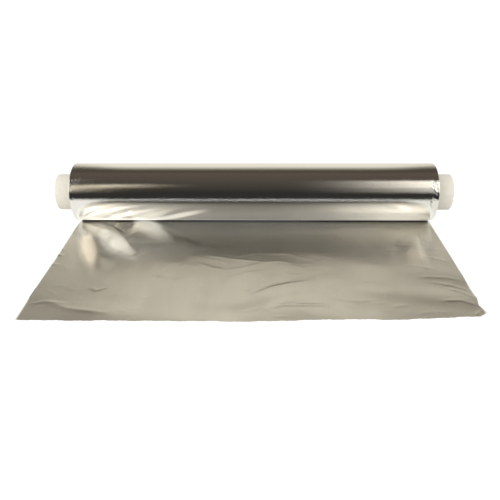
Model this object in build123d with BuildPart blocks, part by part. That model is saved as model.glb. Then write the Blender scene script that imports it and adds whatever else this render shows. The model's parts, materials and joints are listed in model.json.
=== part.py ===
from build123d import *
import os
from math import asin, cos, degrees, hypot, pi, sqrt

# A catering roll of aluminium foil on a paper core, with a length pulled out in front.
# The roll lies along X on the plane Z = 0, and the pulled length runs towards -Y.
# The origin is on that plane, under the roll's axis, at the middle of its length.

# Wound roll
foil_width = 450.0  # width of the strip, which is also the length of the wound roll
wound_depth = 13.7  # thickness of the wound foil on the core
rest_half_width = 6.0  # half of the narrow flat that the weight presses under the roll
foil_gauge = 0.4  # thickness of the pulled length and of the step at the outer turn

# Paper core
core_outer_diameter = 45.0
core_wall = 3.5
core_overhang = 22.4  # how far each end of the core stands out of the roll
core_edge_break = 0.4  # bevel on the core's cut edges

# Edges of the turns, seen on each end of the roll as one spiral gap
turn_pitch = 2.6
turn_gap_width = 0.7
turn_gap_depth = 0.5
turn_margin = 1.2  # plain ring left beside the core and under the outer turn

# Pulled length
flat_run = 3.0  # it lies flat this far in front of the roll's rest
sheet_reach = 233.4  # from the roll's axis to the furthest point of the torn edge
ramp_length = 22.0  # past the flat run, the folds rise to their full height over this length
row_spacing = 10.0  # between the cross sections that the pulled length is drawn through
column_spacing = 8.0  # between the points along each cross section
trim_margin = 12.0  # the sections run this far past the outline before it is cut
sheet_lie = 0.25  # the flats between the folds lie this far above the table

# Folds of the pulled length. Each is a soft ridge between two places, and a place is a share of
# the width, from the left edge, and a share of the reach. Then come its height and half width.
corner_folds = [
    ((0.022, 0.060), (0.138, 0.200), 4.6, 15.0),
    ((0.060, 0.150), (0.222, 0.460), 5.0, 17.0),
    ((0.040, 0.210), (0.104, 0.570), 4.2, 18.0),
    ((0.178, 0.050), (0.328, 0.350), 3.6, 24.0),
]
middle_folds = [
    ((0.370, 0.445), (0.580, 0.545), 1.3, 15.0),
    ((0.490, 0.840), (0.665, 0.680), 1.6, 15.0),
    ((0.665, 0.430), (0.780, 0.530), 1.2, 15.0),
]
front_folds = [
    ((0.130, 0.960), (0.410, 1.010), 3.0, 20.0),
    ((0.590, 0.910), (0.735, 0.990), 2.4, 17.0),
    ((0.025, 0.830), (0.210, 0.950), 2.0, 16.0),
]
right_folds = [
    ((0.780, 0.750), (1.000, 0.840), 2.4, 15.0),
    ((0.840, 0.560), (1.000, 0.640), 1.8, 15.0),
]
all_folds = corner_folds + middle_folds + front_folds + right_folds

# Torn front edge: a share of the width, then how far the edge falls short of the full reach
torn_edge = [
    (0.000, 2.4),
    (0.155, 1.2),
    (0.370, 0.0),
    (0.520, 0.6),
    (0.665, 4.0),
    (0.820, 4.8),
    (0.986, 10.6),
]

# Torn right corner, from its tip back to the straight edge: how far past that edge, then shortfall
torn_corner = [(2.0, 17.4), (-2.6, 29.4), (0.0, 42.0)]

# Sizes that follow from the ones above
core_radius = core_outer_diameter / 2
core_length = foil_width + 2 * core_overhang
roll_radius = core_radius + wound_depth
axis_height = sqrt(roll_radius**2 - rest_half_width**2)
left_edge = -foil_width / 2
right_edge = foil_width / 2
flat_end = -rest_half_width - flat_run


def smooth_step(share):
    """Rises from 0 to 1 with level ends."""
    clipped = max(0.0, min(1.0, share))
    return clipped * clipped * (3 - 2 * clipped)


def fold_height(x, y, fold):
    """Height of one fold over a point of the table."""
    (start_across, start_out), (end_across, end_out), height, half_width = fold
    start_x, start_y = left_edge + start_across * foil_width, -start_out * sheet_reach
    run_x = (end_across - start_across) * foil_width
    run_y = (start_out - end_out) * sheet_reach
    run = hypot(run_x, run_y)
    along = ((x - start_x) * run_x + (y - start_y) * run_y) / run
    across = abs((x - start_x) * run_y - (y - start_y) * run_x) / run
    past_end = max(0.0, -along, along - run)
    away = min(1.0, hypot(across, past_end) / half_width)
    return height * (1 + cos(pi * away)) / 2


def sheet_height(x, y):
    """Height of the pulled length's underside over a point of the table."""
    ramp = smooth_step((flat_end - y) / ramp_length)
    return ramp * (sheet_lie + sqrt(sum(fold_height(x, y, fold) ** 2 for fold in all_folds)))


def spaced(first, last, step):
    """Evenly spaced values from first to last, about step apart."""
    count = max(2, round(abs(last - first) / step))
    return [first + (last - first) * i / count for i in range(count + 1)]


def spiral_edges(first_radius, half_turns):
    """Half circles whose centres alternate, so that they grow outwards by turn_pitch a turn."""
    for k in range(half_turns):
        growth = turn_pitch * (2 * k + 1) / 4
        centre_y = turn_pitch / 4 * (-1 if k % 2 else 1)
        CenterArc((centre_y, axis_height), first_radius + growth, 180 * (k % 2), 180)


# Paper core: a plain tube with its cut edges slightly broken
with BuildPart() as core_tube:
    with BuildSketch(Plane.YZ) as core_section:
        with Locations((0, axis_height)):
            Circle(core_radius)
            Circle(core_radius - core_wall, mode=Mode.SUBTRACT)
    extrude(amount=core_length / 2, both=True)
    chamfer(core_tube.edges().filter_by(GeomType.CIRCLE), core_edge_break)

core_tube.part.label = "core_tube"

# Gap between the turns on both ends: one spiral, from beside the core to under the outer turn
gap_start_radius = core_radius + turn_margin
gap_end_radius = roll_radius - turn_margin - turn_gap_width
gap_half_turns = int((gap_end_radius - gap_start_radius) / (turn_pitch / 2))
spiral_growth = gap_half_turns * turn_pitch / 2
end_side = -1 if gap_half_turns % 2 == 0 else 1  # the side of the axis on which it ends

with BuildPart() as turn_gaps:
    with BuildSketch(Plane.YZ.offset(right_edge - turn_gap_depth)) as gap_section:
        with BuildLine() as gap_outline:
            spiral_edges(gap_start_radius, gap_half_turns)
            spiral_edges(gap_start_radius + turn_gap_width, gap_half_turns)
            for side, radius in ((-1, gap_start_radius), (end_side, gap_start_radius + spiral_growth)):
                near_wall = (side * radius, axis_height)
                far_wall = (side * (radius + turn_gap_width), axis_height)
                Line(near_wall, far_wall)
        make_face()
    extrude(amount=turn_gap_depth)
    mirror(about=Plane.YZ)

# Pulled length: wavy ribbons across the strip, ruled from one to the next, then cut to outline
rows = spaced(flat_end, -sheet_reach - trim_margin, row_spacing)
columns = spaced(left_edge - trim_margin, right_edge + trim_margin, column_spacing)

with BuildPart() as pulled_length:
    for row in rows:
        with BuildSketch(Plane((0, row, 0), x_dir=(1, 0, 0), z_dir=(0, -1, 0))) as ribbon:
            with BuildLine() as ribbon_outline:
                under = Spline([(x, sheet_height(x, row)) for x in columns])
                upper = Spline([(x, sheet_height(x, row) + foil_gauge) for x in columns])
                Line(under @ 0, upper @ 0)
                Line(under @ 1, upper @ 1)
            make_face()
    loft(ruled=True)
    with BuildSketch(Plane.XY.offset(-roll_radius)) as outline:
        with BuildLine() as outline_edge:
            torn = Spline([(left_edge + s * foil_width, short - sheet_reach) for s, short in torn_edge])
            notch = [(right_edge + past, short - sheet_reach) for past, short in torn_corner]
            Polyline(torn @ 1, *notch, (right_edge, flat_end), (left_edge, flat_end), torn @ 0)
        make_face()
    extrude(amount=2 * roll_radius, mode=Mode.INTERSECT)

# Foil: the turns and the pulled length are one strip, which leaves the roll at its foot. The
# front of the roll lies one gauge further in, because the outer turn ends there.
front_radius = roll_radius - foil_gauge / 2
front_centre_height = axis_height + foil_gauge / 2
front_lift = sqrt(front_radius**2 - (front_centre_height - foil_gauge) ** 2)
back_start = degrees(asin(rest_half_width / roll_radius)) - 90
front_sweep = 180 - degrees(asin(front_lift / front_radius))

with BuildPart() as foil:
    with BuildSketch(Plane.YZ) as roll_section:
        with BuildLine() as roll_outline:
            back = CenterArc((0, axis_height), roll_radius, back_start, 90 - back_start)
            front = CenterArc((0, front_centre_height), front_radius, 90, front_sweep)
            Polyline(front @ 1, (flat_end, foil_gauge), (flat_end, 0), back @ 0)
        make_face()
        with Locations((0, axis_height)):
            Circle(core_radius, mode=Mode.SUBTRACT)
    extrude(amount=foil_width / 2, both=True)
    add(turn_gaps.part, mode=Mode.SUBTRACT)
    add(pulled_length.part)

foil.part.label = "foil"

os.makedirs("parts", exist_ok=True)
export_step(core_tube.part, "parts/core_tube.step")
export_step(foil.part, "parts/foil.step")
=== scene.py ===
# %% [markdown]
# # Aluminium foil on a paper core
# The object is one strip of aluminium foil, 450 mm wide, wound on a paper tube. A length of it is
# pulled out from under the roll and torn off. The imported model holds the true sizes, so it is
# loaded first, and the main sizes below are read from it.

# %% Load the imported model
import json
import math

import bpy
import numpy as np
from mathutils import Matrix, Vector, geometry, noise


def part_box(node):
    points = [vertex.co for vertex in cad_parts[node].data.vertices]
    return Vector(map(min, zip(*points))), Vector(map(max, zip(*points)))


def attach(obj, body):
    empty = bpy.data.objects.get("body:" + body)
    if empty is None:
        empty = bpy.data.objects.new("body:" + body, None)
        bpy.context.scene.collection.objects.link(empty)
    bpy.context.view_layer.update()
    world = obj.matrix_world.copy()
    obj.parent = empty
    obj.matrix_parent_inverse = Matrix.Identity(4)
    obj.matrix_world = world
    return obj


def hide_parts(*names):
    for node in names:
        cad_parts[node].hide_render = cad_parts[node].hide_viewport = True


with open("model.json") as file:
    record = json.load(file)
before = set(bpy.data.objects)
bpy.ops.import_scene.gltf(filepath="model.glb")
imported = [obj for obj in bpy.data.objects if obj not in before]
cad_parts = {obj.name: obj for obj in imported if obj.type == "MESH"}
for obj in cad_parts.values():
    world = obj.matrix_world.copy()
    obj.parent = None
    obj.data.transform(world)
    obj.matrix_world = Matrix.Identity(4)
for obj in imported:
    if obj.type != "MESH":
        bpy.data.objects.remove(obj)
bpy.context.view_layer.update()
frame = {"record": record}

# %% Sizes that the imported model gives
MM = 0.001  # the script works in metres, and small sizes are written in millimetres

foil_low, foil_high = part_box("foil")
_, core_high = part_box("core_tube")
mounts = {mount["name"]: mount for mount in frame["record"]["mounts"]}

half_width = -foil_low.x
sheet_reach = -foil_low.y
roll_radius = foil_high.y
axis_height = foil_high.z - roll_radius
core_half_length = core_high.x
core_radius = core_high.y
bore_radius = mounts["core_bore"]["dims"]["r_mm"] * MM
print("roll radius", round(roll_radius / MM, 2), "mm")
print("strip", round(2 * half_width / MM, 1), "mm wide")

# %% [markdown]
# ## Camera
# The camera stands where the photograph's does. Its place, tilt and lens came from matching the
# roll's outline, the core's ends and the corners of the pulled length.

# %% Camera
camera_place = Vector((6.4, -660.9, 310.3)) * MM
camera_tilt_down = 0.4977
camera_turn_left = 0.0171
camera_roll = -0.0058
lens_width = 40.107  # millimetres, for a picture 36 millimetres wide

bpy.ops.object.camera_add(location=camera_place)
camera = bpy.context.object
turn = Matrix.Rotation(camera_turn_left, 4, "Z")
tilt = Matrix.Rotation(math.pi / 2 - camera_tilt_down, 4, "X")
lean = Matrix.Rotation(camera_roll, 4, "Z")
camera.matrix_world = Matrix.Translation(camera_place) @ turn @ tilt @ lean
camera.data.lens = lens_width
bpy.context.scene.camera = camera
view_axis = camera.matrix_world.to_quaternion() @ Vector((0, 0, -1))
print("camera looks along", tuple(round(v, 3) for v in view_axis))

# %% [markdown]
# ## Helpers for shaping
# Foil is shaped by small moves of many vertices. These helpers read all of a mesh's vertices as
# one array and write them back, and they select edges by their place before an operator acts.


# %% Helpers for shaping
def deselect_everything():
    """Leaves nothing selected, because an operator acts on all that is."""
    if bpy.context.mode != "OBJECT":
        bpy.ops.object.mode_set(mode="OBJECT")
    bpy.ops.object.select_all(action="DESELECT")


def select_only(*pieces):
    """Selects the given pieces and makes the last one active."""
    deselect_everything()
    for piece in pieces:
        piece.select_set(True)
    bpy.context.view_layer.objects.active = pieces[-1]


def name_new_piece(name, scale=(1, 1, 1)):
    """Names the piece just added and turns its place, turn and scale into vertex places."""
    piece = bpy.context.object
    piece.name = name
    piece.data.name = name
    piece.scale = scale
    bpy.ops.object.transform_apply(location=True, rotation=True, scale=True)
    return piece


def read_vertices(piece):
    places = np.empty(3 * len(piece.data.vertices))
    piece.data.vertices.foreach_get("co", places)
    return places.reshape(-1, 3)


def new_grid(name, columns, rows):
    """A flat grid, with each vertex's share of the way across it and of the way up."""
    deselect_everything()
    bpy.ops.mesh.primitive_grid_add(x_subdivisions=columns, y_subdivisions=rows, size=1)
    piece = name_new_piece(name)
    flat = read_vertices(piece)
    return piece, flat[:, 0] + 0.5, flat[:, 1] + 0.5


def write_vertices(piece, places):
    piece.data.vertices.foreach_set("co", places.ravel())
    piece.data.update()


def write_round(piece, x, radius, angle):
    """Places vertices round the roll's axis, at angles measured from the back upwards."""
    y, z = radius * np.cos(angle), axis_height + radius * np.sin(angle)
    write_vertices(piece, np.column_stack((x, y, z)))


def edge_ends(piece):
    ends = np.empty(2 * len(piece.data.edges), dtype=np.int32)
    piece.data.edges.foreach_get("vertices", ends)
    return ends.reshape(-1, 2)


def edit_edges(piece, wanted):
    """Enters edit mode with only the wanted edges selected."""
    mesh = piece.data
    mesh.vertices.foreach_set("select", np.zeros(len(mesh.vertices), dtype=bool))
    mesh.polygons.foreach_set("select", np.zeros(len(mesh.polygons), dtype=bool))
    mesh.edges.foreach_set("select", wanted)
    bpy.context.tool_settings.mesh_select_mode = (False, True, False)
    bpy.ops.object.mode_set(mode="EDIT")


def smooth_step(share):
    """Rises from 0 to 1 with level ends."""
    share = np.clip(share, 0.0, 1.0)
    return share * share * (3 - 2 * share)


def ripple(places, wavelength, start=0.0):
    """Smooth waves between about -1 and 1 that wander over a surface, about a wavelength apart."""
    shift = Vector((start, start, start))
    return np.array([noise.noise(Vector(place) / wavelength + shift) for place in places])


def corner_vertices(piece):
    """The vertex at each corner of each face, one face after another."""
    corners = np.empty(len(piece.data.loops), dtype=np.int32)
    piece.data.loops.foreach_get("vertex_index", corners)
    return corners


def lay_strip(piece, across, along):
    """Gives a piece the strip's own coordinates, in metres, as its only UV map."""
    layers = piece.data.uv_layers
    while layers:
        layers.remove(layers[0])
    layers.new(name="strip").data.foreach_set("uv", np.column_stack((across, along)).ravel())


def triangles(piece):
    return sum(len(face.vertices) - 2 for face in piece.data.polygons)


# %% [markdown]
# ## Paper core
# The core is a tube of paper board, wound from narrow strips on a slant, so a faint seam runs
# round it and its cut ends show the layers. A tube could be a cylinder with a hole cut through it.
# Here the wall's section, a long rectangle, is drawn once and spun round the roll's axis, so the
# bore, the cut ends and the outside come out as one closed wall with a ring of vertices wherever
# the section has a point.

# %% Wall of the core, drawn flat
stub_rings = 26  # along each end that stands out of the roll
hidden_rings = 12  # along the part inside the roll
ring_count = 2 * stub_rings + hidden_rings
layer_rings = 8  # through the wall
stub_start = half_width - 2 * MM  # the close rings begin just inside the roll
core_wall = core_radius - bore_radius

paper_core, share_along, share_up = new_grid("paper_core", ring_count, layer_rings)
ring_places = [-core_half_length, -stub_start, stub_start, core_half_length]
ring_shares = [0, stub_rings / ring_count, 1 - stub_rings / ring_count, 1]
section_x = np.interp(share_along, ring_shares, ring_places)
section_z = axis_height + (core_radius + bore_radius) / 2 + (share_up - 0.5) * core_wall
write_vertices(paper_core, np.column_stack((section_x, 0 * section_x, section_z)))
print("wall of the core", round(core_wall / MM, 2), "mm thick")

# %% Keep the outline of the section and spin it
core_steps = 160
core_weld = 0.01 * MM  # vertices closer than this would be merged where the spin closes
edit_edges(paper_core, np.zeros(len(paper_core.data.edges), dtype=bool))
bpy.context.tool_settings.mesh_select_mode = (True, False, False)
bpy.ops.mesh.select_non_manifold(use_wire=False, use_boundary=True, use_multi_face=False)
bpy.ops.mesh.select_all(action="INVERT")
bpy.ops.mesh.delete(type="VERT")
bpy.ops.mesh.select_all(action="SELECT")
bpy.ops.mesh.delete(type="ONLY_FACE")
bpy.ops.mesh.select_all(action="SELECT")
bpy.ops.mesh.spin(
    steps=core_steps, angle=2 * math.pi, center=(0, 0, axis_height), axis=(1, 0, 0)
)
bpy.ops.mesh.select_all(action="SELECT")
bpy.ops.mesh.remove_doubles(threshold=core_weld)
bpy.ops.mesh.normals_make_consistent(inside=False)
bpy.ops.object.mode_set(mode="OBJECT")
print("paper core", triangles(paper_core), "triangles")

# %% Slanted seam, cut layers and broken edges
# Round the tube the skin sinks slowly by half a step, drops at the seam, and rises again softly.
seam_pitch = 96 * MM  # the seam moves this far along the tube in one turn
seam_step = 0.14 * MM
seam_softness = 0.02  # share of a turn over which the skin rises again
layer_step = 0.06 * MM  # every other layer of board is cut this much shorter
touch = 0.1 * MM  # vertices this close to the outside or to a cut end belong to it

places = read_vertices(paper_core)
across = np.hypot(places[:, 1], places[:, 2] - axis_height)
angle = np.arctan2(places[:, 2] - axis_height, places[:, 1])
turn_share = np.mod(places[:, 0] / seam_pitch + angle / (2 * math.pi), 1.0)
outside = across > core_radius - touch
step = -seam_step * (1 - smooth_step(turn_share / seam_softness)) - seam_step * 0.5 * turn_share
new_across = np.where(outside, across + step, across)
places[:, 1] *= new_across / across
places[:, 2] = axis_height + (places[:, 2] - axis_height) * new_across / across
layer = np.round((across - bore_radius) / core_wall * layer_rings)
on_cut = np.abs(np.abs(places[:, 0]) - core_half_length) < touch
cut_face = on_cut & (across > bore_radius + 2 * touch) & ~outside
places[:, 0] -= np.where(cut_face & (layer % 2 == 1), layer_step, 0.0) * np.sign(places[:, 0])
write_vertices(paper_core, places)

select_only(paper_core)
bevel = paper_core.modifiers.new("broken_edges", "BEVEL")
bevel.width = 0.35 * MM
bevel.segments = 2
bevel.limit_method = "ANGLE"
bevel.angle_limit = math.radians(60)
bpy.ops.object.modifier_apply(modifier=bevel.name)
bpy.ops.object.shade_smooth_by_angle(angle=math.radians(30))
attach(paper_core, "root")
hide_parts("core_tube")
print("paper core finished,", triangles(paper_core), "triangles")

# %% [markdown]
# ## Wound foil: the outside of the roll
# The outer turn is a smooth bright skin, pulled tight, with hardly any waves. It is pressed flat
# where it rests, and its two cut edges are bruised: short slanted crinkles run in from them. A
# cylinder could give the shape, but crinkles need vertices close together near the ends and few in
# the middle, so an open cylinder is cut into rings, and the rings are then crowded to the ends.

# %% An open cylinder cut into rings
around = 300
rings = 152

deselect_everything()
bpy.ops.mesh.primitive_cylinder_add(
    vertices=around,
    radius=roll_radius,
    depth=2 * half_width,
    end_fill_type="NOTHING",
    location=(0, 0, axis_height),
    rotation=(0, math.pi / 2, 0),
)
wound_foil = name_new_piece("wound_foil")
for cuts in (rings // 2 - 1, 1):
    ends = edge_ends(wound_foil)
    x_places = read_vertices(wound_foil)[:, 0]
    lengthwise = np.abs(x_places[ends[:, 0]] - x_places[ends[:, 1]]) > 0.01 * MM
    edit_edges(wound_foil, lengthwise)
    bpy.ops.mesh.subdivide(number_cuts=cuts)
    bpy.ops.object.mode_set(mode="OBJECT")
ring_edges = len(np.unique(np.round(read_vertices(wound_foil)[:, 0], 5)))
print("rings", ring_edges - 1)

# %% Places of the rings
end_zone = 15 * MM  # crinkles reach this far in from each end
end_zone_rings = 30

# Rings: fine steps at the cut edge, then even ones through the crinkled zone, then wide ones
edge_rings = np.array([0, 0.12, 0.3, 0.6, 1.0, 1.5]) * MM
zone_rings = np.linspace(1.5 * MM, end_zone, end_zone_rings - len(edge_rings) + 2)[1:]
from_edge = np.concatenate((edge_rings, zone_rings))
middle_count = rings + 1 - 2 * len(from_edge)
middle = np.linspace(-half_width + end_zone, half_width - end_zone, middle_count + 2)[1:-1]
ring_x = np.concatenate((-half_width + from_edge, middle, half_width - from_edge[::-1]))
print("rings from", round(ring_x[0] / MM, 2), "to", round(ring_x[-1] / MM, 2), "mm")

# %% Crinkles at the cut edges
# Each has a distance in from the edge, an angle above the front, a slant, a length and a height.
# Most run side by side on a slant, down towards the edge, as a knock on a box leaves them.
chance = np.random.default_rng(45)


def knocked_edge(first, last, spacing, tall, deep):
    """Crinkles side by side between two angles, with uneven lengths and heights."""
    crinkles = []
    for degrees in np.arange(first, last, spacing):
        inward = chance.uniform(2.5, deep)
        height = tall * chance.uniform(0.5, 1.0) * chance.choice((-1, 1))
        place, slant = degrees + chance.uniform(-1, 1), -chance.uniform(46, 60)
        crinkles.append((inward, place, slant, chance.uniform(6, 11), height))
    return crinkles


right_crinkles = knocked_edge(-8, 46, 3.4, 0.30, 9.0) + knocked_edge(-62, -12, 8.0, 0.12, 5.0)
left_crinkles = knocked_edge(-6, 44, 4.2, 0.075, 4.5) + knocked_edge(-62, -12, 9.0, 0.08, 5.0)

# Over the back of the roll they are few, shallow and lean either way
for crinkles in (right_crinkles, left_crinkles):
    crinkles += knocked_edge(50, 70, 7.0, 0.06, 4.0)
    for degrees in np.arange(76, 296, 9.0):
        lean = chance.uniform(-60, 60)
        inward, length = chance.uniform(1.5, 5.0), chance.uniform(3.5, 8)
        crinkles.append((inward, degrees, lean, length, chance.uniform(-0.12, 0.12)))
crinkle_half_width = 0.95 * MM
print("crinkles", len(left_crinkles), "on the left,", len(right_crinkles), "on the right")

# %% Shape of the skin
rest_gap = 0.18 * MM  # the pulled length passes under the roll here
rest_gap_end = 5 * MM  # behind the axis, where the outer turn meets the table
rest_gap_ease = 1 * MM
skin_inset = 0.06 * MM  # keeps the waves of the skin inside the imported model's radius
cut_inset, cut_reach = 0.05 * MM, 0.3 * MM  # the skin turns in a little at its cut edges


def crinkled(x, front_angle, side, crinkles):
    """How far the skin stands out, in metres, at angles measured from the front upwards."""
    height = np.zeros_like(x)
    for inward, degrees, slant, length, tall in crinkles:
        along_axis = side * x - (half_width - inward * MM)
        off = np.angle(np.exp(1j * (front_angle - math.radians(degrees)))) * roll_radius
        lean_cos, lean_sin = math.cos(math.radians(slant)), math.sin(math.radians(slant))
        along = along_axis * side * lean_cos + off * lean_sin
        across_it = -along_axis * side * lean_sin + off * lean_cos
        reach = np.clip(1 - np.abs(along) / (length / 2 * MM), 0, 1)
        ridge = np.clip(1 - np.abs(across_it) / crinkle_half_width, 0, 1)
        height += tall * MM * smooth_step(reach) * ridge**1.5
    return height


def rest_height(y):
    """Lowest height of the roll's skin: the table, or the pulled length where that passes under."""
    return rest_gap * smooth_step((rest_gap_end + rest_gap_ease - y) / rest_gap_ease)


def outer_radius(x, angle):
    """Radius of the skin at an angle measured from the back upwards, as atan2(z, y) gives it."""
    spots = np.column_stack((x, np.cos(angle) * roll_radius, np.sin(angle) * roll_radius))
    swell = 0.07 * MM * ripple(spots, 90 * MM) + 0.022 * MM * ripple(spots, 30 * MM, 7)
    front_angle = math.pi - angle
    bruises = crinkled(x, front_angle, 1, right_crinkles)
    bruises += crinkled(x, front_angle, -1, left_crinkles)
    rolled_in = cut_inset * np.clip(1 - (half_width - np.abs(x)) / cut_reach, 0, 1) ** 2
    radius = roll_radius - skin_inset + swell + bruises - rolled_in
    below = -np.sin(angle)
    floor_radius = (axis_height - rest_height(radius * np.cos(angle))) / np.maximum(below, 1e-3)
    return np.where(below > 0, np.minimum(radius, floor_radius), radius)


places = read_vertices(wound_foil)
ring_number = np.round((places[:, 0] / (2 * half_width) + 0.5) * rings).astype(int)
step_angle = 2 * math.pi / around
angle = np.round(np.arctan2(places[:, 2] - axis_height, places[:, 1]) / step_angle) * step_angle
x = ring_x[ring_number]
radius = outer_radius(x, angle)
write_round(wound_foil, x, radius, angle)
print("skin radius", round(radius.min() / MM, 2), "to", round(radius.max() / MM, 2), "mm")

# %% [markdown]
# ## Wound foil: the ends
# An end of the roll is the cut edge of the strip itself, wound in a spiral from the core to the
# outer turn. Flat rings would look the same from far off, but a real roll shows where the last
# turn runs out. So each end is modelled as what it is: a long narrow strip, subdivided lengthwise,
# is wound round the axis, and neighbouring turns share their edge with a groove between them.

# %% Wind a strip into each end
turn_pitch = 0.95 * MM  # one modelled turn stands for about sixty turns of foil
groove_depth = 0.32 * MM
uneven_depth = 0.16 * MM  # turns stand out unevenly by about this
end_inset = 0.1 * MM
plain_rim = 0.5 * MM  # grooves and unevenness fade out over this beside the core and the skin
inner_radius = core_radius + 0.03 * MM
turn_count = int(math.ceil((roll_radius - inner_radius) / turn_pitch)) + 1
turn_profile = [0.0, 0.16, 0.5, 0.86, 1.0]  # share of a turn's width at each vertex across it
turn_recess = [1.0, 0.12, 0.0, 0.10, 1.0]  # share of the groove's depth there


def wind_end(name, side):
    """Winds a flat strip into one end of the roll, from the core out to the skin."""
    end, share_along, across_turn = new_grid(name, turn_count * around, len(turn_profile) - 1)
    wound = share_along * turn_count * 2 * math.pi
    even = np.linspace(0, 1, len(turn_profile))
    share = np.interp(across_turn, even, turn_profile)
    spiral = wound / (2 * math.pi) - 1 + share
    angle = -math.pi / 2 - wound
    angle = np.round(angle / step_angle) * step_angle
    angle = np.angle(np.exp(1j * angle))
    limit = outer_radius(np.full_like(angle, side * half_width), angle)
    radius = np.clip(inner_radius + turn_pitch * spiral, inner_radius, limit)
    fade = smooth_step((limit - radius) / plain_rim)
    fade *= smooth_step((radius - inner_radius) / plain_rim)
    spots = np.column_stack((spiral * 0.9, np.cos(angle) * 0.8, np.sin(angle) * 0.8))
    uneven = ripple(spots, 1.0, 3 * side) + 0.6 * ripple(spots * (2.2, 3.0, 3.0), 1.0, 11 * side)
    groove = groove_depth * np.interp(across_turn, even, turn_recess)
    recess = groove + uneven_depth * uneven + end_inset
    write_round(end, side * (half_width - recess * fade), radius, angle)
    return end


left_end = wind_end("left_turns", -1)
right_end = wind_end("right_turns", 1)
print("turns on each end", turn_count)

# %% Join the ends to the skin and close the wall against the core
end_weld = 0.008 * MM

select_only(left_end, right_end, wound_foil)
bpy.ops.object.join()
bpy.ops.object.mode_set(mode="EDIT")
bpy.ops.mesh.select_all(action="SELECT")
bpy.ops.mesh.remove_doubles(threshold=end_weld)
bpy.ops.mesh.normals_make_consistent(inside=False)
bpy.context.tool_settings.mesh_select_mode = (False, True, False)
bpy.ops.mesh.select_all(action="DESELECT")
bpy.ops.mesh.select_non_manifold(
    use_wire=False,
    use_boundary=True,
    use_multi_face=False,
    use_non_contiguous=False,
    use_verts=False,
)
bpy.ops.mesh.bridge_edge_loops()
bpy.ops.mesh.select_all(action="SELECT")
bpy.ops.mesh.normals_make_consistent(inside=False)
bpy.ops.mesh.select_all(action="DESELECT")
bpy.ops.mesh.select_non_manifold()
bpy.ops.object.mode_set(mode="OBJECT")
open_edges = sum(edge.select for edge in wound_foil.data.edges)
print("wound foil", triangles(wound_foil), "triangles,", open_edges, "open edges")

# %% Lay the strip's own coordinates over the roll
# The first runs across the strip, and on an end outwards. The second runs along the strip. A
# face belongs to an end when it lies near it, looks along the axis and isn't part of the skin.
end_depth, end_facing = 0.9 * MM, 0.3
skin_margin, bore_margin = 0.2 * MM, 0.025 * MM

places = read_vertices(wound_foil)
corners = corner_vertices(wound_foil)
roll_faces = wound_foil.data.polygons
corner_faces = np.repeat(np.arange(len(roll_faces)), [face.loop_total for face in roll_faces])
centres = np.array([face.center for face in roll_faces])
normals = np.array([face.normal for face in roll_faces])


def angle_from_foot(spots):
    """Angle round the axis, from 0 at the foot, where the strip leaves the roll, to a full turn."""
    return np.mod(np.arctan2(spots[:, 2] - axis_height, spots[:, 1]) + math.pi / 2, 2 * math.pi)


wrap = angle_from_foot(places)[corners]
face_wrap = angle_from_foot(centres)[corner_faces]
wrap = wrap + 2 * math.pi * np.round((face_wrap - wrap) / (2 * math.pi))
face_radius = np.hypot(centres[:, 1], centres[:, 2] - axis_height)
is_end = np.abs(centres[:, 0]) > half_width - end_depth
is_end &= np.abs(normals[:, 0]) > end_facing
is_end &= face_radius < roll_radius - skin_margin
is_bore = face_radius < core_radius + bore_margin
corner_radius = np.hypot(places[corners, 1], places[corners, 2] - axis_height)
across_strip = np.where(is_end[corner_faces], corner_radius, places[corners, 0])
lay_strip(wound_foil, across_strip, wrap * roll_radius)
roll_faces.foreach_set("material_index", (is_end & ~is_bore).astype(np.int32))
print("faces on the ends", int(is_end.sum()))

select_only(wound_foil)
bpy.ops.object.shade_smooth_by_angle(angle=math.radians(38))
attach(wound_foil, "root")
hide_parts("foil")

# %% [markdown]
# ## Pulled length
# The pulled length is foil that lies on the table. Foil bends easily but doesn't stretch, so it
# lies flat over most of its area and takes its extra length up in sharp narrow creases, and in a
# bunch of larger folds where it was pulled askew, at the left end of the roll. A cloth simulation
# gives round, soft folds, which is wrong for metal that keeps a crease. So a fine grid is fitted
# to the torn outline, and its vertices are lifted along folds and creases listed one by one.

# %% Outline of the pulled length
# Positions are in millimetres from the middle of the roll's foot. The front edge and the corner
# are where the strip was torn.
torn_front_x = np.array([-225.0, -155.3, -58.5, 9.0, 74.3, 144.0, 218.7, 227.0])
torn_front_short = np.array([2.4, 1.2, 0.0, 0.6, 4.0, 4.8, 10.6, 17.4])
notch_short = np.array([17.4, 29.4, 42.0])
notch_past = np.array([2.0, -2.6, 0.0])
sheet_start = 4.0 * MM  # behind the axis, hidden under the roll

columns, rows = 284, 166


def front_edge_y(across):
    """The torn edge, for a place across the strip from 0 to 1."""
    x = np.interp(across, [0, 1], [-225, 227])
    short = np.interp(x, torn_front_x, torn_front_short)
    smooth = sum(np.interp(x + shift, torn_front_x, torn_front_short) for shift in (-9, 9)) / 2
    near_corner = smooth_step((x - 196) / 16)
    short = short * near_corner + smooth * (1 - near_corner)
    nicks = 0.55 * np.sin(x * 0.21) * np.sin(x * 0.083 + 1)
    nicks = nicks + 0.22 * np.sin(x * 0.93 + 2 * np.sin(x * 0.11))
    return -sheet_reach + (short + 0.5 + nicks * smooth_step((x + 225) / 8)) * MM


def right_edge_x(y):
    """The right edge, with the torn notch beside its front corner."""
    short = (y + sheet_reach) / MM
    return half_width + np.interp(short, notch_short, notch_past) * MM


def left_edge_x(y):
    """The left edge, which leaves the roll a little inside its end, because it was pulled askew."""
    return -half_width + 2.1 * MM * np.clip(1 + y / (220 * MM), 0, 1) ** 1.5


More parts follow.
